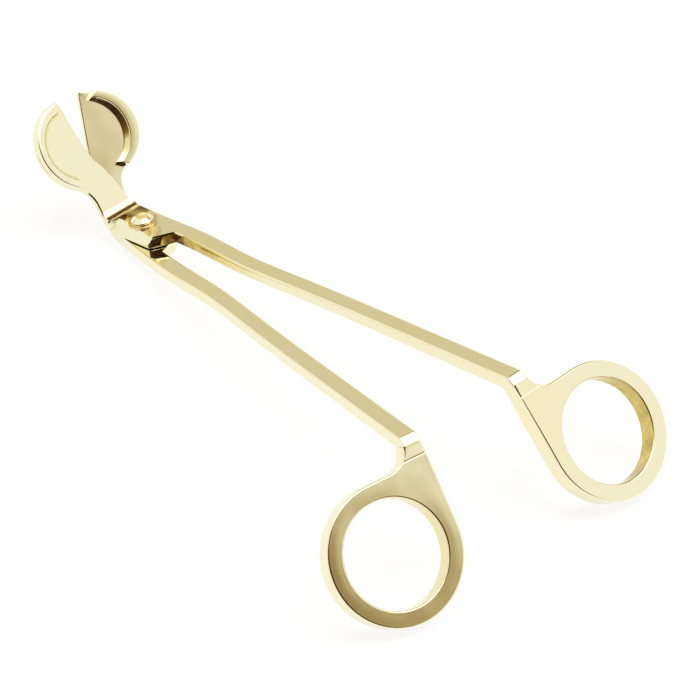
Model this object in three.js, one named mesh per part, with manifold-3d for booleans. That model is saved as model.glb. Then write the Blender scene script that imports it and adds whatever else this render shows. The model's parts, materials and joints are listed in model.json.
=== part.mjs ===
// Wick trimmer: two bent halves that cross at a pivot screw, like a pair of scissors.
// Each half runs from a half-round blade with a raised rim, through a bent neck and a flat lap
// at the pivot, to a straight arm and a bent-down finger ring.
// Millimetres, +Z up. The trimmer lies on its back: the far edges of the two finger rings touch
// the surface, the heel of the neck is half a millimetre above it, and the blades point up and
// forward, along +Y.
// The origin is the bottom centre of the bounding box.
import * as THREE from 'three';
import { mergeVertices } from 'three/addons/utils/BufferGeometryUtils.js';
import Module from 'manifold-3d';

const wasm = await Module();
wasm.setup();

// Driving dimensions
const BEND_ANGLE = 58;       // degrees, head and rings against the plane of the arms
const HALF_OPENING = 5.46;   // degrees that each half is turned from the closed position
const REST_TILT = 11.05;     // degrees, plane of the arms against the surface it lies on
const GAP = 0.3;             // mm between pieces that meet
const LAP_THICKNESS = 2.9;   // flat part of each half at the pivot
const BEND_Y = 8.7;          // from the pivot to the bend in the neck
const ARM_START = 13.3;      // from the pivot to the start of the arm
const ARM_LEVEL = 64;        // the arm is parallel to the lap as far as this
const ARM_END = 120;         // from the pivot to the bend before the finger ring
const ARM_END_TOP = 1.63;    // height of both arms' top faces at that bend
const ARM_END_DEPTH = 3.25;
const ARM_WIDTH = 4.3;
const PLATE_THICKNESS = 1.45;
const UPPER_HEAD_RADIUS = 11.2;
const UPPER_HEAD_CENTRE = new THREE.Vector2(-0.6, 21.35);
const LOWER_HEAD_RADIUS = 10.55;
const LOWER_HEAD_CENTRE = new THREE.Vector2(1.25, 21.7);
const LOWER_TRAY_RADIUS = 9.2;   // inside the lower rim, which is widest in its middle
const LOWER_TRAY_CENTRE = new THREE.Vector2(0, 21.67);
const RIM_WIDTH = 2.3;
const UPPER_RIM_TOP = 3.2;   // above the plane where the blades meet
const LOWER_RIM_TOP = 2.4;
const BEVEL_END = 7;          // from the pivot, forward, on the upper lap's free side
const RELIEF_ANGLE = 24;     // degrees of opening that the heel of the upper neck clears
const RING_RADIUS = 15.4;
const HOLE_RADIUS = 11.7;
const RING_CENTRE = new THREE.Vector2(16.9, 20.7);
const RING_THICKNESS = 4.4;
const RING_LENGTH = 40;      // longer than the ring reaches behind its bend
const ARM_FACET = 1.0;       // where the two flats on the outside of the ring's bend start and
const RING_FACET = 4.2;      // end, from the bend
const FACET_MIDDLE = [-0.6, 0.35]; // where they meet, behind the bend and above the pivot plane
const PIN_RADIUS = 1.6;
const PIN_RUNNING_GAP = 0.06;
const WASHER_RADIUS = 3.7;
const WASHER_THICKNESS = 0.5;
const SCREW_HEAD_RADIUS = 2.9;
const SCREW_HEAD_HEIGHT = 1.1;
const NUT_RADIUS = 3.2;
const NUT_THICKNESS = 0.6;
const ROUND_STEPS = 48;
const REACH = 60;            // half size of the blocks that trim a piece

const bend = THREE.MathUtils.degToRad(BEND_ANGLE);
const lapTop = GAP / 2 + LAP_THICKNESS;
const plateTop = GAP / 2 + PLATE_THICKNESS;

// Frames: the head plane and the ring planes are turned about X from the plane of the arms.
const turnX = new THREE.Matrix4().makeRotationX(bend);
const headFrame = new THREE.Matrix4().makeTranslation(0, BEND_Y, 0).multiply(turnX);
const ringFrame = new THREE.Matrix4().makeTranslation(0, -ARM_END, ARM_END_TOP).multiply(turnX);
const sideFrame = new THREE.Matrix4().makeBasis(
  new THREE.Vector3(0, 1, 0),
  new THREE.Vector3(0, 0, 1),
  new THREE.Vector3(1, 0, 0),
);

function toSolid(geometry) {
  const bare = geometry.clone();
  bare.deleteAttribute('normal');
  bare.deleteAttribute('uv');
  const merged = mergeVertices(bare, 1e-5);
  return new wasm.Manifold(new wasm.Mesh({
    numProp: 3,
    vertProperties: new Float32Array(merged.attributes.position.array),
    triVerts: new Uint32Array(merged.index.array),
  }));
}

function toGeometry(solid) {
  const mesh = solid.getMesh();
  const geometry = new THREE.BufferGeometry();
  geometry.setAttribute('position', new THREE.BufferAttribute(mesh.vertProperties, 3));
  geometry.setIndex(new THREE.BufferAttribute(mesh.triVerts, 1));
  geometry.computeVertexNormals();
  return geometry;
}

// An outline, pushed from one level to another along its own normal, then put in its frame.
function slab(shape, low, high, frame = new THREE.Matrix4()) {
  const geometry = new THREE.ExtrudeGeometry(shape, {
    depth: high - low,
    bevelEnabled: false,
    curveSegments: ROUND_STEPS / 2,
  });
  geometry.translate(0, 0, low);
  return toSolid(geometry.applyMatrix4(frame));
}

// A side view, given as points (y, z), pushed right across the part along X.
function sideSlab(points) {
  const shape = new THREE.Shape(points.map(([y, z]) => new THREE.Vector2(y, z)));
  return slab(shape, -REACH, REACH, sideFrame);
}

function roundBar(radius, low, high) {
  const geometry = new THREE.CylinderGeometry(radius, radius, high - low, ROUND_STEPS);
  geometry.rotateX(Math.PI / 2);
  geometry.translate(0, 0, (low + high) / 2);
  return toSolid(geometry);
}

// The side views of the neck: a lap in the plane of the arms and a plate in the head plane.
// level is how far a face lies above the plane where the two halves meet.
function headPoint(along, level) {
  const point = new THREE.Vector3(0, along, level).applyMatrix4(headFrame);
  return [point.y, point.z];
}

function ringPoint(behind, level) {
  const point = new THREE.Vector3(0, -behind, level).applyMatrix4(ringFrame);
  return [point.y, point.z];
}

// Where a face at height z in the arm plane meets a face at a level in the head plane.
function bendCorner(z, level) {
  return [BEND_Y + (z * Math.cos(bend) - level) / Math.sin(bend), z];
}

function neckSide(lapLow, lapHigh, plateLow, plateHigh) {
  return sideSlab([
    [-REACH, lapLow],
    bendCorner(lapLow, plateLow),
    headPoint(REACH, plateLow),
    headPoint(REACH, plateHigh),
    bendCorner(lapHigh, plateHigh),
    [-REACH, lapHigh],
  ]);
}

// Plan views. side is +1 for the upper half, whose arm is on +X, and -1 for the lower half.
function lapOutline(side, outerEdge, innerEdge) {
  const shape = new THREE.Shape();
  shape.moveTo(side * outerEdge, BEND_Y + 3);
  shape.lineTo(-side * innerEdge, BEND_Y + 3);
  shape.lineTo(-side * innerEdge, -6.6);
  shape.lineTo(-side * (innerEdge - 0.8), -7.4);
  shape.lineTo(side * 0.4, -9.6);
  shape.lineTo(side * 1.0, -11);
  shape.lineTo(side * 1.0, -ARM_START);
  shape.lineTo(side * 5.2, -ARM_START);
  shape.lineTo(side * 5.1, -8);
  shape.lineTo(side * 5.0, -1);
  shape.closePath();
  return shape;
}

// The upper blade is left of its cutting edge, and its neck widens to the right below the edge.
function upperHeadOutline() {
  const shape = new THREE.Shape();
  shape.moveTo(5.1, -3);
  shape.lineTo(5.1, 1.5);
  shape.quadraticCurveTo(4.2, 3.5, 3.9, 5.6);
  shape.quadraticCurveTo(3.3, 12.4, 0.85, 16.6);
  shape.lineTo(0.1, 24);
  shape.lineTo(0.1, 31.2);
  const { x, y } = UPPER_HEAD_CENTRE;
  shape.absarc(x, y, UPPER_HEAD_RADIUS, 0.5 * Math.PI, 1.33 * Math.PI);
  shape.quadraticCurveTo(-4.3, 10.0, -4.1, 7.2);
  shape.lineTo(-4.5, 0);
  shape.lineTo(-4.5, -3);
  shape.closePath();
  return shape;
}

function lowerHeadOutline() {
  const shape = new THREE.Shape();
  shape.moveTo(-4.5, -3);
  shape.lineTo(-4.3, 5.6);
  shape.quadraticCurveTo(-3.7, 12.6, -1.75, 19.2);
  shape.lineTo(1.35, 31.0);
  const { x, y } = LOWER_HEAD_CENTRE;
  shape.absarc(x, y, LOWER_HEAD_RADIUS, 0.485 * Math.PI, -0.37 * Math.PI, true);
  shape.quadraticCurveTo(2.7, 10.9, 2.5, 6);
  shape.lineTo(2.6, 5);
  shape.lineTo(3.2, 0);
  shape.lineTo(3.4, -3);
  shape.closePath();
  return shape;
}

function rimOutline(outer, outerRadius, inner, innerRadius, fromAngle, toAngle) {
  const shape = new THREE.Shape();
  shape.absarc(outer.x, outer.y, outerRadius, fromAngle, toAngle);
  shape.absarc(inner.x, inner.y, innerRadius, toAngle, fromAngle, true);
  shape.closePath();
  return shape;
}

function armOutline(side) {
  const inner = [[1.0, ARM_START + GAP], [0.6, 20], [-0.35, 34], [-0.4, 42], [1.3, ARM_END + 2]];
  const width = [4.2, 4.6, ARM_WIDTH, ARM_WIDTH, ARM_WIDTH];
  const outer = inner.map(([x, y], step) => [x + width[step], y]).reverse();
  return new THREE.Shape([...inner, ...outer].map(([x, y]) => new THREE.Vector2(side * x, -y)));
}

// The ring plate: a straight inner edge that runs into the ring, and a fillet on the outer side.
function ringOutline(side) {
  const shape = new THREE.Shape();
  const centreX = side * RING_CENTRE.x;
  const near = RING_CENTRE.y - RING_RADIUS;
  shape.moveTo(side * 1.3, 4);
  shape.lineTo(side * (RING_CENTRE.x - RING_RADIUS), -RING_CENTRE.y);
  const start = side > 0 ? Math.PI : 0;
  shape.absarc(centreX, -RING_CENTRE.y, RING_RADIUS, start, Math.PI / 2, side < 0);
  shape.lineTo(side * 11, -near);
  shape.quadraticCurveTo(side * 6.2, -near, side * 5.6, -0.6);
  shape.lineTo(side * 5.6, 4);
  shape.closePath();
  const hole = new THREE.Path();
  hole.absarc(centreX, -RING_CENTRE.y, HOLE_RADIUS, 0, 2 * Math.PI);
  shape.holes.push(hole);
  return shape;
}

// The outer bend between arm and ring is two flat facets, and the pieces meet between them.
const facetStart = [-ARM_END + ARM_FACET, ARM_END_TOP];
const facetEnd = ringPoint(RING_FACET, 0);
const jointTop = [-ARM_END + FACET_MIDDLE[0], FACET_MIDDLE[1]];
const armLowEnd = ARM_END_TOP - ARM_END_DEPTH;
const ringStart = ringPoint(0, -RING_THICKNESS);
const jointBottom = [
  ringStart[0] - (ringStart[1] - armLowEnd) / Math.tan(bend),
  armLowEnd,
];
const jointGap = 0.8 * GAP;

function armSide(startTop) {
  return sideSlab([
    [-ARM_START, startTop],
    [-ARM_LEVEL, startTop],
    facetStart,
    [jointTop[0] + jointGap, jointTop[1]],
    [jointBottom[0] + jointGap, jointBottom[1]],
    [-ARM_LEVEL, startTop - LAP_THICKNESS],
    [-ARM_START, startTop - LAP_THICKNESS],
  ]);
}

const ringSide = sideSlab([
  facetEnd,
  [jointTop[0] - jointGap, jointTop[1]],
  [jointBottom[0] - jointGap, jointBottom[1]],
  ringPoint(RING_LENGTH, -RING_THICKNESS),
  ringPoint(RING_LENGTH, 0),
]);

function arm(side, startTop) {
  const low = -ARM_END_DEPTH - GAP;
  return armSide(startTop).intersect(slab(armOutline(side), low, -low));
}

function fingerRing(side) {
  const plan = slab(ringOutline(side), -RING_THICKNESS - GAP, GAP, ringFrame);
  return ringSide.intersect(plan);
}

// The free side of the upper lap, which its bevel keeps to.
function lapFreeSide() {
  return new THREE.Shape([[-REACH, -8], [-1, -8], [-1, BEND_Y], [-REACH, BEND_Y]]
    .map(([x, y]) => new THREE.Vector2(x, y)));
}

// Upper blade: lap, neck and half disc, with a long bevel down the lap's free side and the heel
// cut back so that it clears the lower neck as the trimmer opens.
function upperBlade() {
  const side = neckSide(GAP / 2, lapTop, GAP / 2, plateTop);
  const lap = slab(lapOutline(1, 5.1, 4.5), -REACH, REACH)
    .intersect(sideSlab([[-REACH, -REACH], [BEND_Y + 2, -REACH], [BEND_Y + 2, 5], [-REACH, 5]]));
  const head = slab(upperHeadOutline(), -REACH / 2, REACH / 2, headFrame)
    .intersect(sideSlab([[0, 0], [REACH, 0], [REACH, REACH], [0, REACH]]));
  const clear = new THREE.BoxGeometry(2 * REACH, 2 * REACH, 2 * REACH);
  clear.translate(0, 0, REACH + GAP / 2);
  clear.applyMatrix4(headFrame);
  clear.rotateZ(-THREE.MathUtils.degToRad(RELIEF_ANGLE));
  const front = new THREE.Vector3(-1.5, 8, lapTop);
  const back = new THREE.Vector3(-3.7, -7.5, lapTop);
  const freeSide = new THREE.Vector3(-4.55, 0, 0.8);
  const along = front.clone().sub(back).normalize();
  const out = along.clone().cross(freeSide.clone().sub(back)).normalize();
  const bevel = new THREE.BoxGeometry(REACH, REACH, REACH);
  bevel.translate(0, 0, REACH / 2);
  bevel.applyMatrix4(new THREE.Matrix4().makeBasis(along.clone().cross(out), along, out));
  bevel.translate(back.x, back.y, back.z);
  const bevelCut = toSolid(bevel)
    .intersect(sideSlab([[-ARM_START, 0], [BEVEL_END, 0], [BEVEL_END, REACH], [-ARM_START, REACH]]))
    .intersect(slab(lapFreeSide(), 0, REACH));
  return side.intersect(lap.add(head))
    .intersect(toSolid(clear))
    .subtract(bevelCut)
    .subtract(roundBar(PIN_RADIUS + PIN_RUNNING_GAP, -REACH, REACH));
}

// Lower blade: the same parts below the meeting plane, wrapped round the outside of the bend.
function lowerBlade() {
  const side = neckSide(-lapTop, -GAP / 2, -plateTop, -GAP / 2);
  const lap = slab(lapOutline(-1, 4.7, 4.4), -REACH, REACH)
    .intersect(sideSlab([[-REACH, -REACH], [BEND_Y + 0.4, -REACH], [BEND_Y + 0.4, 0], [-REACH, 0]]));
  const head = slab(lowerHeadOutline(), -REACH / 2, REACH / 2, headFrame)
    .intersect(sideSlab([[4, -REACH], [REACH, -REACH], [REACH, REACH], [4, REACH]]));
  return side.intersect(lap.add(head)).subtract(roundBar(PIN_RADIUS + GAP, -REACH, REACH));
}

function washer() {
  const low = lapTop + GAP;
  return roundBar(WASHER_RADIUS, low, low + WASHER_THICKNESS)
    .subtract(roundBar(PIN_RADIUS + GAP, -REACH, REACH));
}

function nut() {
  const high = -lapTop - GAP;
  return roundBar(NUT_RADIUS, high - NUT_THICKNESS, high)
    .subtract(roundBar(PIN_RADIUS + GAP, -REACH, REACH));
}

// Pivot screw, turned in one profile: plain shank, flat underside and a low domed head.
function pivotScrew() {
  const seat = lapTop + 2 * GAP + WASHER_THICKNESS;
  const tail = -lapTop - GAP - NUT_THICKNESS;
  const profile = new THREE.Path();
  profile.moveTo(0, tail);
  profile.lineTo(PIN_RADIUS, tail);
  profile.lineTo(PIN_RADIUS, seat);
  profile.lineTo(SCREW_HEAD_RADIUS, seat);
  profile.lineTo(SCREW_HEAD_RADIUS, seat + SCREW_HEAD_HEIGHT * 0.4);
  profile.quadraticCurveTo(
    SCREW_HEAD_RADIUS * 0.8, seat + SCREW_HEAD_HEIGHT, 0, seat + SCREW_HEAD_HEIGHT,
  );
  const turned = new THREE.LatheGeometry(profile.getPoints(8), ROUND_STEPS);
  return toSolid(turned.rotateX(Math.PI / 2));
}

const upperRimOutline = rimOutline(
  UPPER_HEAD_CENTRE, UPPER_HEAD_RADIUS, UPPER_HEAD_CENTRE, UPPER_HEAD_RADIUS - RIM_WIDTH,
  0.53 * Math.PI, 1.31 * Math.PI,
);
const lowerRimOutline = rimOutline(
  LOWER_HEAD_CENTRE, LOWER_HEAD_RADIUS, LOWER_TRAY_CENTRE, LOWER_TRAY_RADIUS,
  -0.37 * Math.PI, 0.37 * Math.PI,
);

const gold = { color: 0xd9c48a, roughness: 0.12, metalness: 1 };
const deepGold = { color: 0xc9a866, roughness: 0.16, metalness: 1 };

function piece(name, solid, look) {
  const mesh = new THREE.Mesh(toGeometry(solid), new THREE.MeshStandardMaterial(look));
  mesh.name = name;
  return mesh;
}

const upperHalf = new THREE.Group();
upperHalf.add(
  piece('upper_blade', upperBlade(), gold),
  piece(
    'upper_blade_rim',
    slab(upperRimOutline, plateTop + GAP, UPPER_RIM_TOP, headFrame),
    gold,
  ),
  piece('upper_arm', arm(1, lapTop), gold),
  piece('upper_finger_ring', fingerRing(1), gold),
);
upperHalf.rotation.z = THREE.MathUtils.degToRad(HALF_OPENING);

const lowerHalf = new THREE.Group();
lowerHalf.add(
  piece('lower_blade', lowerBlade(), gold),
  piece(
    'lower_blade_rim',
    slab(lowerRimOutline, GAP / 2, LOWER_RIM_TOP, headFrame),
    gold,
  ),
  piece('lower_arm', arm(-1, -GAP / 2), gold),
  piece('lower_finger_ring', fingerRing(-1), gold),
  piece('pivot_screw', pivotScrew(), gold),
  piece('pivot_washer', washer(), deepGold),
  piece('pivot_nut', nut(), deepGold),
);
lowerHalf.rotation.z = -THREE.MathUtils.degToRad(HALF_OPENING);

const trimmer = new THREE.Group();
trimmer.add(upperHalf, lowerHalf);
trimmer.rotation.x = -THREE.MathUtils.degToRad(REST_TILT);

const part = new THREE.Group();
part.add(trimmer);
part.updateMatrixWorld(true);
const box = new THREE.Box3().setFromObject(part, true);
const centre = box.getCenter(new THREE.Vector3());
trimmer.position.set(-centre.x, -centre.y, -box.min.z);

export default part;
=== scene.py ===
import json
import math

import bmesh
import bpy
import numpy as np
from mathutils import Matrix


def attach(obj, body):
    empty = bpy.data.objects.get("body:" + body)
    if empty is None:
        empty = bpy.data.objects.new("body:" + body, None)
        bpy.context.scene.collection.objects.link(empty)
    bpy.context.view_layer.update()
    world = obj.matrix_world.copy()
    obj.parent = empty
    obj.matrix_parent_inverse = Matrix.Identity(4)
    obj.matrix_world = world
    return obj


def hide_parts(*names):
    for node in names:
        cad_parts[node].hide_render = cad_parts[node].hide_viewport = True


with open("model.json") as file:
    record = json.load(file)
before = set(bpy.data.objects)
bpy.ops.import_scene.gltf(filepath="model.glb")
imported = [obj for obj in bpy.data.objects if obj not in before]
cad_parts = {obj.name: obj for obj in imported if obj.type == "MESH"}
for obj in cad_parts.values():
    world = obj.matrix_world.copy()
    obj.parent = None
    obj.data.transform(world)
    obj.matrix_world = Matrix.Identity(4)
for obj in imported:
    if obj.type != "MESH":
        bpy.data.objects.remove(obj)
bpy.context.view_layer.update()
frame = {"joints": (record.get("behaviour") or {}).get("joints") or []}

# ---------------------------------------------------------------------------------------------
# Camera. It stands behind and to the left of the finger rings, above the bench, and looks down
# and across the trimmer with a long lens. It leans over a little to one side. Its place is
# measured from the pivot screw.
# ---------------------------------------------------------------------------------------------
hinge = frame["joints"][0]
pivot = np.array(hinge["pos_m"], float)
camera_place = pivot + np.array([-0.33605, -0.520623, 0.491934])
camera_aim = pivot + np.array([0.00334, -0.073423, 0.009804])
camera_lean = math.radians(-2.28)
CAMERA_LENS = 172.5
CAMERA_SENSOR = 36.0

look = camera_aim - camera_place
look /= np.linalg.norm(look)
level_right = np.cross(look, [0.0, 0.0, 1.0])
level_right /= np.linalg.norm(level_right)
level_up = np.cross(level_right, look)
lean_right = level_right * math.cos(camera_lean) + level_up * math.sin(camera_lean)
lean_up = np.cross(lean_right, look)

camera_data = bpy.data.cameras.new("bench_camera")
camera_data.lens = CAMERA_LENS
camera_data.sensor_width = CAMERA_SENSOR
camera_data.clip_start = 0.01
camera_data.clip_end = 50.0
camera = bpy.data.objects.new("bench_camera", camera_data)
bpy.context.scene.collection.objects.link(camera)
camera_turn = np.eye(4)
camera_turn[:3, 0] = lean_right
camera_turn[:3, 1] = lean_up
camera_turn[:3, 2] = -look
camera_turn[:3, 3] = camera_place
camera.matrix_world = Matrix(camera_turn.tolist())
bpy.context.scene.camera = camera

# ---------------------------------------------------------------------------------------------
# Blades. Each is the front of one half: a flat lap that the screw goes through, a neck bent up
# by 58 degrees, and half of the round cutting plate. Cast, polished and plated pale gold. The
# upper one has a long bevel down its lap's free side.
# ---------------------------------------------------------------------------------------------
MM = 0.001
BEND = math.radians(58.0)         # of the plates and the rings against the arms
HALF_OPENING = math.radians(5.46)
BEND_ALONG = 8.7                  # from the screw to the bend in the neck, mm
LAP_END = -13.3
LAP_LOW = 0.15                    # both halves keep this clear of the plane where they meet
LAP_HIGH = 3.05
PLATE_HIGH = 1.6
UPPER_PLATE_RADIUS = 11.2
UPPER_PLATE_MIDDLE = (-0.6, 21.35)
UPPER_TIP = 32.52
LOWER_PLATE_RADIUS = 10.55
LOWER_PLATE_MIDDLE = (1.25, 21.7)
LOWER_TIP = 32.2
EDGE_ROUNDING = 0.32
BLADE_CROWN = 0.02                # how far a polished side swells in its middle
SIDE_SHARE = 0.42                 # of a side, the most that one corner's rounding takes up
UPPER_BEND_EASE = (1.2, 2.2)      # how far from the bend its curve starts, below and on top
LOWER_BEND_EASE = (1.6, 1.0)

pivot_up = np.array(hinge["axis"], float)
pivot_up /= np.linalg.norm(pivot_up)
pivot_along = np.cross(pivot_up, [1.0, 0.0, 0.0])


def place_on_half(points, side):
    """Millimetres across, along and up from the screw, into the row frame: the half is turned by
    side times half the opening about the screw, so place = pivot + across + along + up."""
    turn = side * HALF_OPENING
    across = np.array([1.0, 0.0, 0.0]) * math.cos(turn) + pivot_along * math.sin(turn)
    along = np.cross(pivot_up, across)
    return pivot + MM * (np.asarray(points, float) @ np.stack([across, along, pivot_up]))


def on_plate(across, along, level):
    """A point of the cutting plate's own plane, turned up by the bend about a line across the
    neck: forward = bend + along cos - level sin, up = along sin + level cos."""
    across, along, level = np.broadcast_arrays(across, along, level)
    forward = BEND_ALONG + along * math.cos(BEND) - level * math.sin(BEND)
    return np.stack([across, forward, along * math.sin(BEND) + level * math.cos(BEND)], -1)


def curve_through(start, control, end, steps=10):
    """A plain quadratic curve from start to end that heads for control at both of its ends."""
    t = np.linspace(0.0, 1.0, steps)[:, None]
    start, control, end = (np.array(p, float) for p in (start, control, end))
    return (1 - t) ** 2 * start + 2 * t * (1 - t) * control + t ** 2 * end


def arc_about(middle, radius, start, end, steps=40):
    """Points at one radius from middle, from the start angle to the end angle, in half turns."""
    angle = np.linspace(start, end, steps)[:, None] * math.pi
    return np.array(middle) + radius * np.concatenate([np.cos(angle), np.sin(angle)], 1)


def rounded_section(corners, reach, flat=0.0, crown=0.0, most=SIDE_SHARE):
    """Rings of points round a bar, from its four corner lines. At each corner the point is
    corner + reach (1 - cos t) towards the next corner + reach (1 - sin t) towards the last one.
    flat draws that quarter turn out into a straight bevel, and crown swells each side by
    4 q (1 - q) times its height. reach is given for each corner as (towards next, towards last),
    and takes up to the share most of the side."""
    ahead = np.roll(corners, -1, axis=1) - corners
    behind = np.roll(corners, 1, axis=1) - corners
    far_ahead = np.linalg.norm(ahead, axis=2, keepdims=True)
    far_behind = np.linalg.norm(behind, axis=2, keepdims=True)
    to_next = ahead / far_ahead
    to_last = behind / far_behind
    reach = np.broadcast_to(reach, corners.shape[:2] + (2,))
    most = np.broadcast_to(most, (4,))[None, :, None]
    next_reach = np.minimum(reach[..., :1], most * far_ahead)
    last_reach = np.minimum(reach[..., 1:], most * far_behind)
    t = np.linspace(0.0, 0.5 * math.pi, 6)
    flat = np.broadcast_to(flat, (4,))[None, :, None]
    next_share = (1 - flat) * (1 - np.cos(t)) + flat * t / t[-1]
    last_share = (1 - flat) * (1 - np.sin(t)) + flat * (1 - t / t[-1])
    hold = np.minimum(0.12, 0.04 * np.minimum(far_ahead, far_behind))
    none = np.zeros_like(hold)
    next_part = np.concatenate([none, next_reach * next_share, next_reach + hold], 2)
    last_part = np.concatenate([last_reach + hold, last_reach * last_share, none], 2)
    turned = (corners[:, :, None] + next_part[..., None] * to_next[:, :, None]
              + last_part[..., None] * to_last[:, :, None])
    q = np.array([0.25, 0.5, 0.75])
    from_here = next_reach + hold
    from_next = np.roll(last_reach + hold, -1, axis=1)
    along_side = from_here + (far_ahead - from_here - from_next) * q
    side = (corners[:, :, None] + along_side[..., None] * to_next[:, :, None]
            - (crown * 4 * q * (1 - q))[:, None] * to_last[:, :, None])
    return np.concatenate([turned, side], 2).reshape(len(corners), -1, 3)


def eased_ends(corners, amount):
    """The two end stations, each drawn as a quarter turn: stepped back by amount (1 - sin t) and
    drawn in at every corner by amount (1 - cos t)."""
    if not amount:
        return corners
    t = np.linspace(0.0, 0.5 * math.pi, 5)[:, None, None]
    drawn = []
    for end, neighbour in ((corners[0], corners[1]), (corners[-1], corners[-2])):
        out = end.mean(0) - neighbour.mean(0)
        out /= np.linalg.norm(out)
        ahead = np.roll(end, -1, 0) - end
        behind = np.roll(end, 1, 0) - end
        inward = (ahead / np.linalg.norm(ahead, axis=1, keepdims=True)
                  + behind / np.linalg.norm(behind, axis=1, keepdims=True))
        drawn.append(end - amount * (1 - np.sin(t)) * out + amount * (1 - np.cos(t)) * inward)
    return np.concatenate([drawn[0][::-1], corners[1:-1], drawn[1]])


def bar_shell(rings, closed=False):
    """Points and faces of a bar: four-sided faces between the rings, and a face over each end."""
    count, around = rings.shape[:2]
    index = np.arange(count * around).reshape(count, around)
    if closed:
        index = np.concatenate([index, index[:1]])
    across = np.roll(index, -1, 1)
    faces = np.stack([index[:-1], index[1:], across[1:], across[:-1]], -1).reshape(-1, 4).tolist()
    if not closed:
        faces += [index[0].tolist(), index[-1][::-1].tolist()]
    return rings.reshape(-1, 3), faces


def make_piece(name, shells, side, material, crease=28.0, painted_shade=None):
    """One object from closed shells: faces turned outwards, smooth but for edges past crease.
    The last argument gives, from 0 to 1 at each point, how much painted shade the point gets:
    darkening painted into the plating that stands in for dark reflections and shadow."""
    form = bmesh.new()
    for points, faces in shells:
        corners = [form.verts.new(p) for p in place_on_half(points, side).tolist()]
        for face in faces:
            form.faces.new([corners[i] for i in face])
    bmesh.ops.recalc_face_normals(form, faces=form.faces[:])
    mesh = bpy.data.meshes.new(name)
    form.to_mesh(mesh)
    form.free()
    mesh.shade_smooth()
    mesh.set_sharp_from_angle(angle=math.radians(crease))
    mesh.materials.append(material)
    # Painted shade, stored on the points for the material.
    if painted_shade is not None:
        mesh.attributes.new("painted_shade", "FLOAT", "POINT").data.foreach_set("value", painted_shade)
    piece = bpy.data.objects.new(name, mesh)
    bpy.context.scene.collection.objects.link(piece)
    return piece


def add_noise(material, place, scale, detail):
    """A noise over the piece, with scale lumps to the metre where place is in metres."""
    noise = material.node_tree.nodes.new("ShaderNodeTexNoise")
    noise.inputs["Scale"].default_value = scale
    noise.inputs["Detail"].default_value = detail
    material.node_tree.links.new(place, noise.inputs["Vector"])
    return noise.outputs["Fac"]


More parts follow.
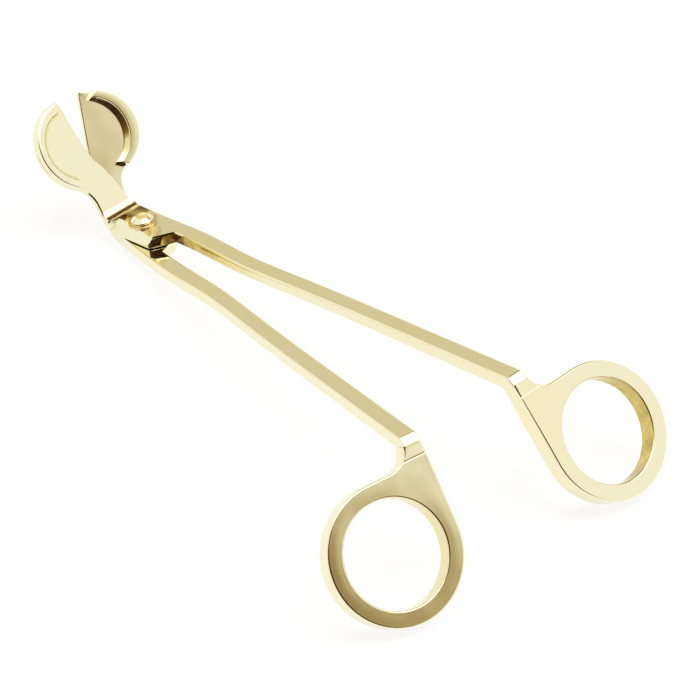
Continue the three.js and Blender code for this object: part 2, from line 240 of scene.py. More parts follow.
def plated_gold(name, colour, deep_colour, painted_shade_colour, roughness, wave_height):
    """Polished plating: a tint that drifts slowly over the piece, a gloss that is cloudy where it
    has been handled, the soft waves that a polishing wheel leaves, and fine hairline marks. Where
    the piece's attribute of painted shade is more than 0, the tint goes to the painted shade
    colour and on to brown in the deepest streaks. This is painted shade that stands in for dark
    reflections and shadow."""
    material = bpy.data.materials.new(name)
    material.use_nodes = True
    nodes = material.node_tree.nodes
    links = material.node_tree.links
    shader = nodes["Principled BSDF"]
    shader.inputs["Metallic"].default_value = 1.0
    place = nodes.new("ShaderNodeTexCoord").outputs["Object"]

    drift = add_noise(material, place, 42.0, 2.0)
    tint = nodes.new("ShaderNodeMix")
    tint.data_type = "RGBA"
    tint.inputs["A"].default_value = (*colour, 1.0)
    tint.inputs["B"].default_value = (*deep_colour, 1.0)
    links.new(drift, tint.inputs["Factor"])

    # Painted shade: each piece's per-point amount of darkening, standing in for dark reflections
    # and shadow.
    painted_shade = nodes.new("ShaderNodeAttribute")
    painted_shade.attribute_name = "painted_shade"
    shade_streak = add_noise(material, place, 330.0, 2.0)
    shade_streak_depth = nodes.new("ShaderNodeMapRange")
    shade_streak_depth.inputs["From Min"].default_value = 0.3
    shade_streak_depth.inputs["From Max"].default_value = 0.7
    shade_streak_depth.inputs["To Min"].default_value = 0.7
    shade_streak_depth.inputs["To Max"].default_value = 1.3
    links.new(shade_streak, shade_streak_depth.inputs["Value"])
    depth = nodes.new("ShaderNodeMath")
    depth.operation = "MULTIPLY"
    links.new(painted_shade.outputs["Fac"], depth.inputs[0])
    links.new(shade_streak_depth.outputs["Result"], depth.inputs[1])
    # Painted shade colour, going on to dark brown in the deepest streaks.
    painted_shade_tint = nodes.new("ShaderNodeValToRGB")
    painted_shade_tint.color_ramp.elements[0].position = 0.3
    painted_shade_tint.color_ramp.elements[0].color = (*painted_shade_colour, 1.0)
    painted_shade_tint.color_ramp.elements[1].position = 1.0
    painted_shade_tint.color_ramp.elements[1].color = (0.12, 0.055, 0.015, 1.0)
    links.new(depth.outputs["Value"], painted_shade_tint.inputs["Fac"])
    shade_coverage = nodes.new("ShaderNodeMapRange")
    shade_coverage.inputs["From Max"].default_value = 0.4
    links.new(painted_shade.outputs["Fac"], shade_coverage.inputs["Value"])
    painted_shade_blend = nodes.new("ShaderNodeMix")
    painted_shade_blend.data_type = "RGBA"
    links.new(shade_coverage.outputs["Result"], painted_shade_blend.inputs["Factor"])
    links.new(tint.outputs["Result"], painted_shade_blend.inputs["A"])
    links.new(painted_shade_tint.outputs["Color"], painted_shade_blend.inputs["B"])
    links.new(painted_shade_blend.outputs["Result"], shader.inputs["Base Color"])

    cloud = add_noise(material, place, 260.0, 4.0)
    gloss = nodes.new("ShaderNodeMapRange")
    gloss.inputs["From Min"].default_value = 0.3
    gloss.inputs["From Max"].default_value = 0.75
    gloss.inputs["To Min"].default_value = roughness
    gloss.inputs["To Max"].default_value = roughness * 1.7
    links.new(cloud, gloss.inputs["Value"])
    links.new(gloss.outputs["Result"], shader.inputs["Roughness"])

    wave = add_noise(material, place, 95.0, 1.0)
    wave_bump = nodes.new("ShaderNodeBump")
    wave_bump.inputs["Strength"].default_value = 1.0
    wave_bump.inputs["Distance"].default_value = wave_height
    links.new(wave, wave_bump.inputs["Height"])

    stretch = nodes.new("ShaderNodeMapping")
    stretch.inputs["Rotation"].default_value = (0.3, 0.2, 0.5)
    stretch.inputs["Scale"].default_value = (9000.0, 260.0, 4200.0)
    links.new(place, stretch.inputs["Vector"])
    hairline = add_noise(material, stretch.outputs["Vector"], 1.0, 2.0)
    hairline_bump = nodes.new("ShaderNodeBump")
    hairline_bump.inputs["Strength"].default_value = 0.25
    hairline_bump.inputs["Distance"].default_value = 0.0000012
    links.new(hairline, hairline_bump.inputs["Height"])
    links.new(wave_bump.outputs["Normal"], hairline_bump.inputs["Normal"])
    links.new(hairline_bump.outputs["Normal"], shader.inputs["Normal"])
    return material


# The third colour is the painted shade colour, the dark gold painted where a piece's painted shade
# is above 0.
gold = plated_gold("pale_gold_plating", (0.895, 0.86, 0.66), (0.91, 0.83, 0.53),
                   (0.80, 0.63, 0.20), 0.07, 0.00006)


def blade_stations(corner, ease, plate_middle, tip):
    """Distances from the bend of the stations on one level of a blade, less than 0 on the lap and
    more than 0 on the plate. They stop ease short of the corner on both sides. They are close
    together at the back of the lap, and towards the tip they follow the round plate,
    middle + radius sin t."""
    back_of_lap = np.array([-22.0, -20.4, -19.3, -18.9, -18.6, -17.6, -16.1, -15.3, -14.6])
    lap = np.concatenate([back_of_lap, np.linspace(-13.4, corner[0] - ease, 12)])
    t = np.linspace(math.radians(-52.0), math.radians(90.0), 64)
    disc = plate_middle + (tip - plate_middle) * np.sin(t)
    plate_start = corner[1] + ease
    rise = np.linspace(0.0, 1.0, 16)[:-1]
    return lap, np.concatenate([plate_start + (disc[0] - plate_start) * rise, disc])


def blade_corners(left, right, levels, eases, plate_middle, tip):
    """The four corner lines of a blade, and how far from the bend their stations are. levels are
    (lap, plate) of the underside and then of the top. The two planes of one level meet at
    (lap cos - plate) / sin on the lap and (lap - plate cos) / sin on the plate. Each line runs
    along the lap, round that corner as a quadratic curve, and up the plate, while left and right
    give its width at every distance."""
    lines = []
    for (lap_level, plate_level), ease in zip(levels, eases):
        corner = ((lap_level * math.cos(BEND) - plate_level) / math.sin(BEND),
                  (lap_level - plate_level * math.cos(BEND)) / math.sin(BEND))
        lap, plate = blade_stations(corner, ease, plate_middle, tip)
        turn_point = np.array([0.0, BEND_ALONG + corner[0], lap_level])
        before = turn_point - np.array([0.0, ease, 0.0])
        after = on_plate(0.0, corner[1] + ease, plate_level)
        share = np.linspace(0.0, 1.0, 12)[1:-1]
        t = share[:, None]
        bent = (1 - t) ** 2 * before + 2 * t * (1 - t) * turn_point + t ** 2 * after
        distance = np.concatenate([lap, (1 - share) * lap[-1] + share * plate[0], plate])
        flat_part = np.stack(
            [np.zeros_like(lap), BEND_ALONG + lap, np.full_like(lap, lap_level)], 1)
        line = np.concatenate([flat_part, bent, on_plate(0.0, plate, plate_level)])
        for edge in (left, right):
            side_line = line.copy()
            side_line[:, 0] = np.interp(distance, edge[:, 1], edge[:, 0])
            lines.append(side_line)
    return np.stack([lines[0], lines[1], lines[3], lines[2]], 1), distance


upper_left = np.concatenate([
    [(1.0, -22.0), (1.0, -18.9), (0.7, -18.6), (-3.7, -16.1), (-4.5, -15.3), (-4.5, 0.0)],
    curve_through((-4.1, 7.2), (-4.3, 10.0), (-6.3, 11.71)),
    arc_about(UPPER_PLATE_MIDDLE, UPPER_PLATE_RADIUS, 1.325, 0.522, 90),
])
upper_right = np.concatenate([
    [(5.2, -22.0), (5.1, -16.7), (5.0, -9.7)],
    curve_through((5.1, 1.5), (4.2, 3.5), (3.9, 5.6)),
    curve_through((3.9, 5.6), (3.3, 12.4), (0.85, 16.6))[1:],
    [(0.1, 24.0), (0.1, 31.2), (-0.58, UPPER_TIP)],
])
upper_corners, upper_distance = blade_corners(
    upper_left, upper_right, ((LAP_LOW, LAP_LOW), (LAP_HIGH, PLATE_HIGH)), UPPER_BEND_EASE,
    UPPER_PLATE_MIDDLE[1], UPPER_TIP)

# The bevel takes the place of the lap's top left corner. It gets wider and deeper from the crotch
# forward, and it runs out just behind the bend and just ahead of the crotch.
BEVEL_FRONT = 8.0                 # ahead of the screw
BEVEL_BACK = -7.5                 # behind it
BEVEL_WIDE = (3.0, 0.8)           # across the top, at the front and at the back
BEVEL_DEEP = 3.52                 # down the side, at the front
BEVEL_RISE = 1 / 6                # how fast its lower edge rises towards the back
BEVEL_FLATNESS = 0.92
BEVEL_SHARE = 0.87                # of a side, the most that the bevel takes up
LAP_CORNER_ROUNDING = 0.1         # of the lower left corner, beside the bevel

on_lap = np.clip((-0.7 - upper_distance) / 1.8, 0.0, 1.0)
ahead_of_crotch = np.clip((upper_distance + 16.4) / 1.2, 0.0, 1.0)
bevelled = on_lap * ahead_of_crotch
behind_front = BEVEL_FRONT - (upper_distance + BEND_ALONG)
bevel_across = (
    BEVEL_WIDE[0] - (BEVEL_WIDE[0] - BEVEL_WIDE[1]) * behind_front / (BEVEL_FRONT - BEVEL_BACK))
bevel_down = BEVEL_DEEP - BEVEL_RISE * behind_front
upper_reach = np.full(upper_corners.shape[:2] + (2,), EDGE_ROUNDING)
upper_reach[:, 3, 0] += bevelled * (bevel_down - EDGE_ROUNDING)
upper_reach[:, 3, 1] += bevelled * (bevel_across - EDGE_ROUNDING)
upper_reach[:, 0, 1] += bevelled * (LAP_CORNER_ROUNDING - EDGE_ROUNDING)
upper_rings = rounded_section(
    upper_corners, upper_reach, (0.0, 0.0, 0.0, BEVEL_FLATNESS), BLADE_CROWN,
    (SIDE_SHARE, SIDE_SHARE, SIDE_SHARE, BEVEL_SHARE))

# Painted shade: the top of the lap just behind the bend, beside the bevel, and the crotch behind
# the screw are darkened, standing in for the dark reflections there.
BEND_PAINTED_SHADE = 0.8
CROTCH_PAINTED_SHADE = 0.9

across, level = upper_rings[..., 0], upper_rings[..., 2]
inside_bend = (np.clip((upper_distance + 6.4) / 0.8, 0.0, 1.0)
               * np.clip((-1.4 - upper_distance) / 0.8, 0.0, 1.0))[:, None]
beside_bevel = np.clip((across + 1.9) / 0.5, 0.0, 1.0) * (level > LAP_HIGH - 0.1)
behind_lap = np.clip((-16.2 - upper_distance) / 0.2, 0.0, 1.0)[:, None]
in_crotch = behind_lap * np.clip((1.3 - across) / 0.3, 0.0, 1.0) * (level < LAP_HIGH - 0.2)
upper_painted_shade = np.maximum(BEND_PAINTED_SHADE * inside_bend * beside_bevel, CROTCH_PAINTED_SHADE * in_crotch)
upper_blade = make_piece(
    "plated_upper_blade", [bar_shell(upper_rings)], 1, gold, painted_shade=upper_painted_shade.ravel())
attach(upper_blade, "upper_half")
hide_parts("upper_blade")

lower_left = np.concatenate([
    [(-5.2, -22.0), (-5.1, -16.7), (-5.0, -9.7), (-4.6, -1.0)],
    curve_through((-4.3, 5.6), (-3.7, 12.6), (-1.75, 19.2)),
    [(1.35, 31.0), (1.72, LOWER_TIP)],
])
lower_right = np.concatenate([
    [(-1.0, -22.0), (-1.0, -18.9), (-0.7, -18.6), (3.6, -16.1), (4.4, -15.3), (4.4, -4.0),
     (3.4, -0.6), (2.6, 5.0)],
    curve_through((2.5, 6.0), (2.7, 10.9), (5.44, 12.02)),
    arc_about(LOWER_PLATE_MIDDLE, LOWER_PLATE_RADIUS, -0.365, 0.47, 90),
])
lower_corners = blade_corners(
    lower_left, lower_right, ((-LAP_HIGH, -PLATE_HIGH), (-LAP_LOW, -LAP_LOW)), LOWER_BEND_EASE,
    LOWER_PLATE_MIDDLE[1], LOWER_TIP)[0]
lower_blade = make_piece(
    "plated_lower_blade",
    [bar_shell(rounded_section(lower_corners, EDGE_ROUNDING, 0.0, BLADE_CROWN))],
    -1, gold)
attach(lower_blade, "lower_half")
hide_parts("lower_blade")

# ---------------------------------------------------------------------------------------------
# Rims. A raised lip stands round the outside of each half plate and keeps the cut wick in. The
# upper one runs softly into its plate, and the lower one is widest in its middle, with a steep
# inner wall and cut ends.
# ---------------------------------------------------------------------------------------------
LOWER_TRAY_MIDDLE = (0.0, 21.67)
RIM_INSET = 0.03                  # behind the edge of the plate
UPPER_RIM_LEVELS = (1.45, 3.15)   # foot and top, above the plane where the halves meet
LOWER_RIM_LEVELS = (-0.3, 2.38)
UPPER_RIM_INSIDE = (7.9, 9.4)     # inner radius at the foot and at the top
LOWER_RIM_INSIDE = (8.65, 9.2)
UPPER_RIM_ENDS = (0.535, 1.31)    # in half turns, anticlockwise from the right
LOWER_RIM_ENDS = (-0.365, 0.37)
RIM_END_ROUNDING = 0.15


def rim_shell(ends, plate, tray_middle, inside, levels, reach, crown):
    """A rim that follows its plate's edge: four corner lines, middle + radius (cos t, sin t).
    plate is the outer circle, as (middle, radius). The inner circle has a middle of its own, and
    inside gives its radius at the foot and at the top."""
    outside = arc_about(plate[0], plate[1] - RIM_INSET, *ends, 96)
    foot, top = (arc_about(tray_middle, radius, *ends, 96) for radius in inside)
    low, high = levels
    lines = [on_plate(line[:, 0], line[:, 1], level)
             for line, level in ((foot, low), (outside, low), (outside, high), (top, high))]
    corners = eased_ends(np.stack(lines, 1), RIM_END_ROUNDING)
    return bar_shell(rounded_section(corners, reach, 0.0, crown))


upper_rim_reach = np.array([(0.1, 0.1), (0.1, 0.1), (0.35, 0.35), (1.0, 0.85)])
upper_rim_shell = rim_shell(
    UPPER_RIM_ENDS, (UPPER_PLATE_MIDDLE, UPPER_PLATE_RADIUS), UPPER_PLATE_MIDDLE,
    UPPER_RIM_INSIDE, UPPER_RIM_LEVELS, upper_rim_reach, 0.04)
upper_rim = make_piece("plated_upper_rim", [upper_rim_shell], 1, gold)
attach(upper_rim, "upper_half")
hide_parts("upper_blade_rim")

lower_rim_reach = np.array([(0.1, 0.1), (0.1, 0.1), (0.35, 0.35), (0.25, 0.25)])
lower_rim_shell = rim_shell(
    LOWER_RIM_ENDS, (LOWER_PLATE_MIDDLE, LOWER_PLATE_RADIUS), LOWER_TRAY_MIDDLE,
    LOWER_RIM_INSIDE, LOWER_RIM_LEVELS, lower_rim_reach, 0.01)
lower_rim = make_piece("plated_lower_rim", [lower_rim_shell], -1, gold)
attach(lower_rim, "lower_half")
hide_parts("lower_blade_rim")

# ---------------------------------------------------------------------------------------------
# Arms. Two long bars of four-sided section with softened edges, one to each half. They start at
# the laps, bow a little, and end in a small flat on the outside of the bend to the finger ring.
# ---------------------------------------------------------------------------------------------
ARM_LEVEL = -64.0                 # as far as here the arm keeps the level of its lap
ARM_END = -120.0
ARM_END_HIGH = 1.63
ARM_END_DEPTH = 3.25
ARM_THICKNESS = 2.9
ARM_FACET = 1.0                   # where the two flats outside the bend start and end
RING_FACET = 4.2
RING_THICKNESS = 4.4
JOINT_SPACE = 0.02                # between the arm's end and the ring's root
ARM_ROUNDING = 0.55
ARM_CROWN = 0.015
ARM_BLEND = 14.0                  # each way from ARM_LEVEL, the turn from level to sloping
FACING_PAINTED_SHADE = 0.62              # painted shade on the two facing sides, at the crotch
FACING_LENGTH = 30.0              # over which it fades


def on_ring(across, along, level):
    """A point of the finger ring's own plane, which hangs down from the arm's end by the bend:
    along cos - level sin behind the end, along sin + level cos above its top."""
    across, along, level = np.broadcast_arrays(across, along, level)
    back = ARM_END + along * math.cos(BEND) - level * math.sin(BEND)
    up = ARM_END_HIGH + along * math.sin(BEND) + level * math.cos(BEND)
    return np.stack([across, back, up], -1)


arm_inner = np.array([(-122.0, 1.3), (-42.0, -0.4), (-34.0, -0.35), (-20.0, 0.6), (-13.3, 1.0)])
arm_outer = np.array([(-122.0, 5.6), (-42.0, 3.9), (-34.0, 3.95), (-20.0, 5.2), (-13.3, 5.2)])
facet_start = np.array([ARM_END + ARM_FACET, ARM_END_HIGH])
facet_end = on_ring(0.0, -RING_FACET, 0.0)[1:]
joint_high = np.array([ARM_END - 0.6, 0.35])
arm_end_low = ARM_END_HIGH - ARM_END_DEPTH
ring_start_low = on_ring(0.0, 0.0, -RING_THICKNESS)[1:]
joint_low = np.array([
    ring_start_low[0] - (ring_start_low[1] - arm_end_low) / math.tan(BEND), arm_end_low])


def arm_corners(side, start_high):
    """Four corner lines of an arm. Its top is level as far as ARM_LEVEL and then straight to the
    facet, and its underside does the same, a little thinner at the end. The width is a smooth
    curve through the stations of its two edges."""
    near = np.concatenate([np.linspace(LAP_END, ARM_LEVEL + 1.5, 40),
                           np.linspace(ARM_LEVEL + 1.2, ARM_LEVEL - 1.2, 5)])
    far = np.linspace(0.0, 1.0, 40)
    high_far = ARM_LEVEL - 1.5 + (facet_start[0] + 0.6 - ARM_LEVEL + 1.5) * far
    low_far = ARM_LEVEL - 1.5 + (joint_low[0] + 1.2 - ARM_LEVEL + 1.5) * far
    high_stops = np.array([(joint_high[0] + JOINT_SPACE, joint_high[1]), tuple(facet_start),
                           (ARM_LEVEL, start_high), (LAP_END, start_high)])
    low_stops = np.array([(joint_low[0] + JOINT_SPACE, joint_low[1]),
                          (ARM_LEVEL, start_high - ARM_THICKNESS),
                          (LAP_END, start_high - ARM_THICKNESS)])
    end_high = np.array([facet_start[0] + 0.25, facet_start[0] + 0.06, facet_start[0] - 0.06,
                         facet_start[0] - 0.25, joint_high[0] + JOINT_SPACE])
    end_low = np.linspace(joint_low[0] + 0.9, joint_low[0] + JOINT_SPACE, 5)
    high_along = np.concatenate([near, high_far, end_high])
    low_along = np.concatenate([near, low_far, end_low])
    lines = []
    for place, stops in ((low_along, low_stops), (high_along, high_stops)):
        level = np.interp(place, stops[:, 0], stops[:, 1])
        blended = np.mean([np.interp(place + step, stops[:, 0], stops[:, 1])
                           for step in np.linspace(-ARM_BLEND, ARM_BLEND, 15)], axis=0)
        level = np.where(np.abs(place - ARM_LEVEL) < 30.0, blended, level)
        for edge in (arm_inner, arm_outer):
            soft = np.mean([np.interp(place + step, edge[:, 0], edge[:, 1])
                            for step in (-4.0, -2.0, 0.0, 2.0, 4.0)], axis=0)
            near_lap = np.clip((place - LAP_END + 6.0) / 6.0, 0.0, 1.0)
            exact = np.interp(place, edge[:, 0], edge[:, 1])
            across = side * (soft + (exact - soft) * near_lap)
            lines.append(np.stack([across, place, level], 1))
    return np.stack([lines[0], lines[1], lines[3], lines[2]], 1)


for half, side, start_high in (("upper", 1, LAP_HIGH), ("lower", -1, -LAP_LOW)):
    corners = arm_corners(side, start_high)
    settle = np.clip((LAP_END - corners[:, 0, 1]) / 8.0, 0.0, 1.0)[:, None, None]
    reach = EDGE_ROUNDING + (ARM_ROUNDING - EDGE_ROUNDING) * settle
    rings = rounded_section(corners, np.broadcast_to(reach, (len(corners), 4, 2)), 0.0, ARM_CROWN)

    # The two arms are close together near the screw, and their facing sides get painted shade
    # there, fading along the arm; it stands in for the dark reflections in the slot between them.
    inner_edge = np.interp(rings[..., 1], arm_inner[:, 0], arm_inner[:, 1])
    facing = np.clip((inner_edge + 0.3 - side * rings[..., 0]) / 0.2, 0.0, 1.0)
    fading = np.clip(1.0 + (rings[..., 1] - LAP_END) / FACING_LENGTH, 0.0, 1.0)
    painted_shade = FACING_PAINTED_SHADE * facing * fading
    arm = make_piece(
        f"plated_{half}_arm", [bar_shell(rings)], side, gold, painted_shade=painted_shade.ravel())
    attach(arm, f"{half}_half")
    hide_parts(f"{half}_arm")

# ---------------------------------------------------------------------------------------------
# Finger rings. Each is a thick flat ring with a straight inner edge and a fillet on the outer
# side, where it grows out of the arm. Its root turns down from the arm's end by the same bend.
# ---------------------------------------------------------------------------------------------
RING_RADIUS = 15.4
HOLE_RADIUS = 11.7
RING_MIDDLE = (16.9, -20.7)
RING_ROUNDING = 0.38
RING_CROWN = 0.2                  # the top face's rise in the middle of the ring
SECTION_CROWN = 0.012
ROOT_INNER = 1.37                 # the root's two edges where the ring's own plane starts
ROOT_OUTER = 7.34
FILLET_START = (11.0, -5.3)       # on the ring's outline
FILLET_TURN = (6.2, -5.3)
FILLET_END = (5.6, -0.6)          # on the arm's side
HOLE_PAINTED_SHADE = {"upper": 0.5, "lower": 0.15}  # painted shade on the hole's wall, stronger in the upper ring
ROOT_HIGH_START = -1.4            # along the ring, where the root leaves the arm, on top
ROOT_LOW_START = -1.08            # and underneath

ring_outline = np.concatenate([
    np.stack([np.linspace(ROOT_INNER, 1.5, 24),
              np.linspace(-RING_FACET, RING_MIDDLE[1], 24)], 1)[:-1],
    arc_about(RING_MIDDLE, RING_RADIUS, 1.0, 2.5, 150),
    np.stack([np.linspace(RING_MIDDLE[0], FILLET_START[0], 8),
              np.full(8, RING_MIDDLE[1] + RING_RADIUS)], 1)[1:-1],
    curve_through(FILLET_START, (8.68, -5.3), (ROOT_OUTER, -RING_FACET), 16),
    np.stack([np.linspace(ROOT_OUTER, ROOT_INNER, 10), np.full(10, -RING_FACET)], 1)[1:-1],
])


def fillet_across(along):
    """How far across the fillet is at each distance behind the bend. It is the quadratic curve
    from its start by its turn to its end, and as the first two are at one distance,
    t = square root of (along - start) / (end - start)."""
    rise = (along - FILLET_START[1]) / (FILLET_END[1] - FILLET_START[1])
    t = np.sqrt(np.clip(rise, 0.0, 1.0))
    return ((1 - t) ** 2 * FILLET_START[0] + 2 * t * (1 - t) * FILLET_TURN[0]
            + t ** 2 * FILLET_END[0])


def finger_ring_shells(side):
    """The ring is a rounded four-sided section carried round the hole: at every angle it reaches
    from the hole, middle + radius (cos t, sin t), to the outline. Its top rises by
    crown (1 - s^2), with s from -1 at the root to 1 at the far edge. The root is a short bar
    from the joint with the arm, over the second facet, and its end is sunk into the ring."""
    away = ring_outline - np.array(RING_MIDDLE)
    angle = np.arctan2(away[:, 1], away[:, 0])
    hole = np.array(RING_MIDDLE) + HOLE_RADIUS * np.stack([np.cos(angle), np.sin(angle)], 1)
    half_length = (RING_RADIUS - RING_MIDDLE[1] - RING_FACET) / 2
    rise_in, rise_out = (
        RING_CROWN * (1 - ((line[:, 1] + RING_FACET + half_length) / half_length) ** 2)
        for line in (hole, ring_outline))
    corners = np.stack([
        on_ring(side * hole[:, 0], hole[:, 1], -RING_THICKNESS),
        on_ring(side * ring_outline[:, 0], ring_outline[:, 1], -RING_THICKNESS),
        on_ring(side * ring_outline[:, 0], ring_outline[:, 1], rise_out),
        on_ring(side * hole[:, 0], hole[:, 1], rise_in),
    ], 1)
    band = bar_shell(rounded_section(corners, RING_ROUNDING, 0.0, SECTION_CROWN), closed=True)

    share = np.array([0.0, 0.06, 0.35, 0.65, 0.88, 1.0])[:, None]
    high = joint_high + (facet_end - joint_high) * share
    high[0, 0] -= JOINT_SPACE
    low_end = on_ring(0.0, -RING_FACET, -RING_THICKNESS + 0.02)[1:]
    low = joint_low + (low_end - joint_low) * share
    low[0, 0] -= JOINT_SPACE
    sunk_high = np.array([on_ring(0.0, -RING_FACET - 0.15, -0.04)[1:],
                          on_ring(0.0, -RING_FACET - 2.2, -0.4)[1:]])
    sunk_low = np.array([on_ring(0.0, -RING_FACET - 0.3, -RING_THICKNESS + 0.04)[1:],
                         on_ring(0.0, -RING_FACET - 2.0, -RING_THICKNESS + 0.4)[1:]])
    high_along, low_along = (
        np.concatenate([start - (RING_FACET + start) * share[:, 0], [-RING_FACET, -RING_FACET]])
        for start in (ROOT_HIGH_START, ROOT_LOW_START))
    inner = side * np.array([1.34, 1.34, 1.35, 1.36, ROOT_INNER, ROOT_INNER, 1.42, 2.2])
    tuck = np.array([0.0, 0.0, 0.0, 0.0, 0.0, 0.0, 0.1, 1.5])  # the sunk end is drawn in
    outer_high = side * (fillet_across(high_along) - tuck)
    outer_low = side * (fillet_across(low_along) - tuck)
    high = np.concatenate([high, sunk_high])
    low = np.concatenate([low, sunk_low])
    root = np.stack([
        np.column_stack([inner, low]), np.column_stack([outer_low, low]),
        np.column_stack([outer_high, high]), np.column_stack([inner, high])], 1)
    ease = np.concatenate([ARM_ROUNDING + (RING_ROUNDING - ARM_ROUNDING) * share[:, 0],
                           [RING_ROUNDING, RING_ROUNDING]])[:, None, None]
    return [band, bar_shell(rounded_section(root, np.broadcast_to(ease, (8, 4, 2))))]


def in_hole(points, side):
    """1 on the wall of the hole and 0 a little way outside it: the distance from the hole's middle
    line, in the ring's own plane, is compared with the hole's radius."""
    along = ((points[:, 1] - ARM_END) * math.cos(BEND)
             + (points[:, 2] - ARM_END_HIGH) * math.sin(BEND))
    away = np.hypot(side * points[:, 0] - RING_MIDDLE[0], along - RING_MIDDLE[1])
    return np.clip((HOLE_RADIUS + 0.25 - away) / 0.2, 0.0, 1.0)


for half, side in (("upper", 1), ("lower", -1)):
    shells = finger_ring_shells(side)
    # The wall of each hole gets painted shade, standing in for dark reflections and shadow there.
    hole_wall = np.concatenate([in_hole(points, side) for points, faces in shells])
    painted_shade = HOLE_PAINTED_SHADE[half] * hole_wall
    ring = make_piece(f"plated_{half}_finger_ring", shells, side, gold, painted_shade=painted_shade)
    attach(ring, f"{half}_half")
    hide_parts(f"{half}_finger_ring")

# ---------------------------------------------------------------------------------------------
# Pivot. A turned screw goes down through both laps. Its low head is flat on top, with a wide
# bevel. A washer sits under the head, and a thin round nut holds the tail underneath. The washer
# and the nut are plated a deeper gold.
# ---------------------------------------------------------------------------------------------
SCREW_SEAT = 3.6
SCREW_TOP = 4.75
SCREW_HEAD_RADIUS = 2.65
SHANK_RADIUS = 1.6
WASHER_RADIUS = 3.7
WASHER_HOLE = 1.9
WASHER_ROUNDING = 0.25
NUT_RADIUS = 3.2
NUT_HOLE = 1.55
NUT_ROUNDING = 0.22
NUT_LOW = -3.95


def turned_shell(profile, closed=False, steps=96):
    """A turned shape: each profile point (radius, height) goes once round, to
    (radius cos t, radius sin t, height). A closed profile makes a plain ring, and an open one
    starts and ends on the middle line, where its points are one."""
    angle = np.linspace(0.0, 2 * math.pi, steps, endpoint=False)
    rounds = profile if closed else profile[1:-1]
    radius, height = rounds[:, :1], rounds[:, 1:]
    rings = np.stack([radius * np.cos(angle), radius * np.sin(angle),
                      np.broadcast_to(height, (len(rounds), steps))], -1)
    if closed:
        return bar_shell(rings, closed=True)
    points, faces = bar_shell(rings)
    faces = faces[:-2]
    first, last = len(points), len(points) + 1
    rim = np.arange(steps)
    following = np.roll(rim, -1)
    start = np.stack([np.full(steps, first), rim, following], 1)
    top = (len(rounds) - 1) * steps
    end = np.stack([np.full(steps, last), top + following, top + rim], 1)
    poles = np.array([(0.0, 0.0, profile[0, 1]), (0.0, 0.0, profile[-1, 1])])
    return np.concatenate([points, poles]), faces + start.tolist() + end.tolist()


# From the tail up: its eased end, the shank, the underside and side of the head, the bevel and
# the flat top.
screw_profile = np.concatenate([
    [(0.0, NUT_LOW), (0.8, NUT_LOW), (1.35, NUT_LOW + 0.04), (1.56, NUT_LOW + 0.2),
     (SHANK_RADIUS, NUT_LOW + 0.5), (SHANK_RADIUS, SCREW_SEAT),
     (SCREW_HEAD_RADIUS - 0.25, SCREW_SEAT), (SCREW_HEAD_RADIUS - 0.07, SCREW_SEAT + 0.07),
     (SCREW_HEAD_RADIUS, SCREW_SEAT + 0.25)],
    curve_through((SCREW_HEAD_RADIUS, SCREW_TOP - 0.85), (SCREW_HEAD_RADIUS, SCREW_TOP - 0.72),
                  (2.4, SCREW_TOP - 0.55), 7),
    [(2.2, SCREW_TOP - 0.41), (2.0, SCREW_TOP - 0.26), (1.8, SCREW_TOP - 0.12),
     (1.62, SCREW_TOP), (0.8, SCREW_TOP), (0.0, SCREW_TOP)],
])
pivot_screw = make_piece("plated_pivot_screw", [turned_shell(screw_profile)], -1, gold)
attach(pivot_screw, "lower_half")
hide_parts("pivot_screw")

deep_gold = plated_gold("deep_gold_plating", (0.80, 0.64, 0.34), (0.72, 0.54, 0.25),
                        (0.60, 0.40, 0.12), 0.11, 0.00004)


def flat_ring_profile(hole, radius, low, high, ease):
    """A flat ring's profile, round its four corners: corner + ease (1 - cos t, 1 - sin t)."""
    corners = np.array([[(hole, 0.0, low), (radius, 0.0, low), (radius, 0.0, high),
                         (hole, 0.0, high)]])
    return rounded_section(corners, ease)[0][:, [0, 2]]


washer_profile = flat_ring_profile(
    WASHER_HOLE, WASHER_RADIUS, LAP_HIGH + 0.02, SCREW_SEAT, WASHER_ROUNDING)
washer = make_piece(
    "plated_pivot_washer", [turned_shell(washer_profile, closed=True)], -1, deep_gold, 40.0)
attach(washer, "lower_half")
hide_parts("pivot_washer")

nut_profile = flat_ring_profile(NUT_HOLE, NUT_RADIUS, NUT_LOW, -LAP_HIGH, NUT_ROUNDING)
nut = make_piece(
    "plated_pivot_nut", [turned_shell(nut_profile, closed=True)], -1, deep_gold, 40.0)
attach(nut, "lower_half")
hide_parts("pivot_nut")

# ---------------------------------------------------------------------------------------------
# Bench and light. A plain white bench and a soft overhead light, in a white room. The polished
# plating mirrors the room, which is brightest overhead, dim high on the right and on the far
# wall, and dark behind the camera. Seen straight, the room is plain white.
# ---------------------------------------------------------------------------------------------
FLOOR_REACH = 6.0
floor_mesh = bpy.data.meshes.new("bench_top")
floor_mesh.from_pydata(
    [(-FLOOR_REACH, -FLOOR_REACH, 0), (FLOOR_REACH, -FLOOR_REACH, 0),
     (FLOOR_REACH, FLOOR_REACH, 0), (-FLOOR_REACH, FLOOR_REACH, 0)], [], [(0, 1, 2, 3)])
floor_paint = bpy.data.materials.new("white_bench")
floor_paint.use_nodes = True
floor_shader = floor_paint.node_tree.nodes["Principled BSDF"]
floor_shader.inputs["Base Color"].default_value = (0.2, 0.2, 0.2, 1.0)
floor_shader.inputs["Roughness"].default_value = 0.9
floor_shader.inputs["Specular IOR Level"].default_value = 0.0
floor_shader.inputs["Emission Color"].default_value = (1.0, 1.0, 1.0, 1.0)
floor_shader.inputs["Emission Strength"].default_value = 0.83
floor_mesh.materials.append(floor_paint)
floor = bpy.data.objects.new("bench_top", floor_mesh)
bpy.context.scene.collection.objects.link(floor)

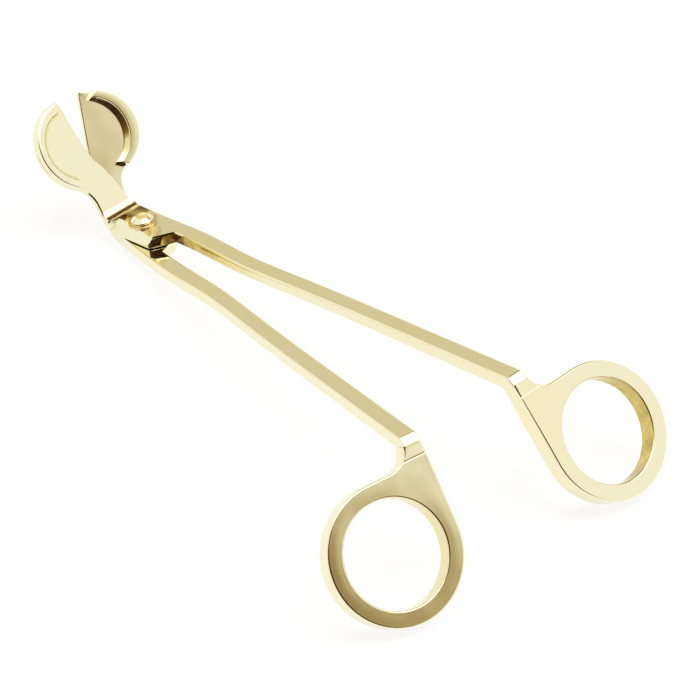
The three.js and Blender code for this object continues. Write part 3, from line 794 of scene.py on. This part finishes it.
room = bpy.data.worlds.new("white_room")
room.use_nodes = True
bpy.context.scene.world = room
room_nodes = room.node_tree.nodes
room_links = room.node_tree.links
room_light = room_nodes["Background"]
room_coords = room_nodes.new("ShaderNodeTexCoord")


def room_patch(direction, inner, outer, level):
    """How bright the room is round one direction: level inside the inner angle, 1 past the outer
    angle, and between them smooth in the cosine of the angle. The angles are in degrees."""
    direction = np.array(direction, float)
    direction /= np.linalg.norm(direction)
    facing = room_nodes.new("ShaderNodeVectorMath")
    facing.operation = "DOT_PRODUCT"
    facing.inputs[1].default_value = direction.tolist()
    room_links.new(room_coords.outputs["Generated"], facing.inputs[0])
    fade = room_nodes.new("ShaderNodeMapRange")
    fade.interpolation_type = "SMOOTHSTEP"
    fade.inputs["From Min"].default_value = math.cos(math.radians(outer))
    fade.inputs["From Max"].default_value = math.cos(math.radians(inner))
    fade.inputs["To Min"].default_value = 1.0
    fade.inputs["To Max"].default_value = level
    room_links.new(facing.outputs["Value"], fade.inputs["Value"])
    return fade.outputs["Result"]


def darker_of(first, second):
    """Two patches on one room: the product of their levels."""
    both = room_nodes.new("ShaderNodeMath")
    both.operation = "MULTIPLY"
    room_links.new(first, both.inputs[0])
    room_links.new(second, both.inputs[1])
    return both.outputs["Value"]


ceiling = room_patch((0.51, 0.38, 0.77), 12.0, 28.0, 0.15)
far_wall = room_patch((0.46, 0.80, 0.38), 16.0, 34.0, 0.72)
dim_side = room_patch((-0.30, -0.85, 0.30), 37.0, 43.5, 0.45)
dark_side = room_patch((-0.30, -0.85, 0.30), 22.0, 36.0, 0.03)
dim_corner = room_patch((-0.19, -0.72, 0.67), 18.0, 31.0, 0.3)
dark_corner = room_patch((-0.62, -0.55, 0.55), 14.0, 30.0, 0.15)
room_level = ceiling
for patch in (far_wall, dim_side, dark_side, dim_corner, dark_corner):
    room_level = darker_of(room_level, patch)
room_tone = room_nodes.new("ShaderNodeValToRGB")
tones = room_tone.color_ramp.elements
tones[0].position = 0.0
tones[0].color = (0.03, 0.012, 0.004, 1.0)
tones[1].position = 1.0
tones[1].color = (1.0, 0.99, 0.95, 1.0)
for position, tone in (
        (0.2, (0.17, 0.10, 0.035, 1.0)), (0.5, (0.50, 0.40, 0.22, 1.0)),
        (0.75, (0.76, 0.71, 0.55, 1.0))):
    tones.new(position).color = tone
room_links.new(room_level, room_tone.inputs["Fac"])
room_links.new(room_tone.outputs["Color"], room_light.inputs["Color"])
overhead_glow = room_patch((0.25, -0.15, 0.95), 10.0, 34.0, 2.8)
room_links.new(overhead_glow, room_light.inputs["Strength"])

white_backdrop = room_nodes.new("ShaderNodeBackground")
white_backdrop.inputs["Color"].default_value = (1.0, 1.0, 1.0, 1.0)
seen_straight = room_nodes.new("ShaderNodeLightPath")
room_or_backdrop = room_nodes.new("ShaderNodeMixShader")
room_links.new(seen_straight.outputs["Is Camera Ray"], room_or_backdrop.inputs["Fac"])
room_links.new(room_light.outputs["Background"], room_or_backdrop.inputs[1])
room_links.new(white_backdrop.outputs["Background"], room_or_backdrop.inputs[2])
room_links.new(room_or_backdrop.outputs["Shader"], room_nodes["World Output"].inputs["Surface"])

overhead_data = bpy.data.lights.new("soft_overhead", "SUN")
overhead_data.energy = 0.35
overhead_data.angle = math.radians(50.0)
overhead = bpy.data.objects.new("soft_overhead", overhead_data)
bpy.context.scene.collection.objects.link(overhead)
overhead.rotation_euler = (math.radians(8.7), math.radians(14.7), 0.0)
bpy.context.scene.view_settings.view_transform = "Standard"
